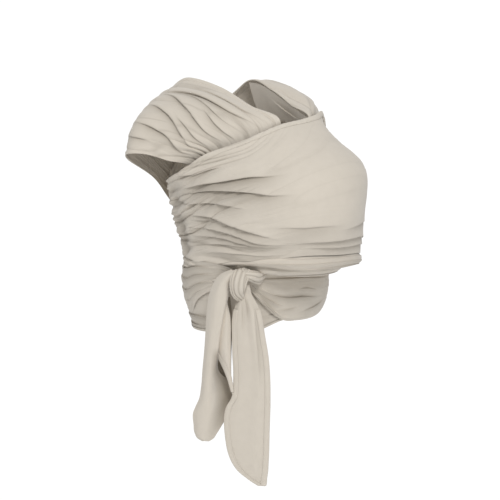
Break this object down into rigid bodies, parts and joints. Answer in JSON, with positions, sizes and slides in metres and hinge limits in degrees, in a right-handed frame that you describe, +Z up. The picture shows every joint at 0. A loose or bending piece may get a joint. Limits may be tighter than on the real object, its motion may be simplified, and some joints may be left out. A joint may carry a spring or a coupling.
{
  "type": "baby wrap sling",
  "caption": "Long stretch-jersey baby wrap worn as a front pocket carry, crossed over shoulders and back and knotted at the hip.",
  "frame": {"origin": "on the axis of the wearer's torso at the height of the waist", "axes": "+Z up, the wearer faces -Y, +X is the wearer's left"},
  "size_m": [0.452, 0.4164, 0.7172],
  "materials": {
    "wrap_jersey": "matte knitted cotton jersey, warm stone beige",
    "knot_jersey": "matte knitted cotton jersey, warm stone beige, pulled tight",
    "tail_jersey": "matte knitted cotton jersey, warm stone beige, hanging loose",
    "hem_jersey": "matte knitted cotton jersey, warm stone beige, folded and stitched"
  },
  "bodies": {
    "wrap": {"back_over_pass": "wrap_jersey", "back_under_pass": "wrap_jersey", "front_over_pass": "wrap_jersey", "front_under_pass": "wrap_jersey", "knot_core": "knot_jersey", "knot_over_strand": "knot_jersey", "knot_under_strand": "knot_jersey", "left_chest_hem": "hem_jersey", "left_chest_pass": "wrap_jersey", "left_nape_hem": "hem_jersey", "left_shoulder_cap": "wrap_jersey", "left_side_gather": "wrap_jersey", "pocket_panel": "wrap_jersey", "pocket_top_hem": "hem_jersey", "right_chest_hem": "hem_jersey", "right_chest_pass": "wrap_jersey", "right_nape_hem": "hem_jersey", "right_shoulder_cap": "wrap_jersey", "right_side_gather": "wrap_jersey", "seat_roll": "wrap_jersey", "seat_tuck": "wrap_jersey", "waist_inner_turn": "wrap_jersey", "waist_lower_hem": "hem_jersey", "waist_outer_turn": "wrap_jersey"},
    "short_tail_top": {"short_tail_upper": "tail_jersey"},
    "short_tail_end": {"short_tail_lower": "tail_jersey", "short_tail_hem": "hem_jersey"},
    "long_tail_top": {"long_tail_upper": "tail_jersey"},
    "long_tail_end": {"long_tail_lower": "tail_jersey", "long_tail_hem": "hem_jersey"}
  },
  "joints": [
    {"name": "short_tail_at_knot", "type": "hinge", "parent": "wrap", "child": "short_tail_top", "pos_m": [-0.1544, -0.0727, -0.008], "axis": [-0.6428, 0.766, 0], "range_deg": [0, 75]},
    {"name": "short_tail_bend", "type": "hinge", "parent": "short_tail_top", "child": "short_tail_end", "pos_m": [-0.1569, -0.0697, -0.125], "axis": [-0.6428, 0.766, 0], "range_deg": [-30, 60]},
    {"name": "long_tail_at_knot", "type": "hinge", "parent": "wrap", "child": "long_tail_top", "pos_m": [-0.1225, -0.1107, -0.008], "axis": [-0.6428, 0.766, 0], "range_deg": [0, 75]},
    {"name": "long_tail_bend", "type": "hinge", "parent": "long_tail_top", "child": "long_tail_end", "pos_m": [-0.1184, -0.1156, -0.165], "axis": [-0.6428, 0.766, 0], "range_deg": [-30, 60]}
  ]
}
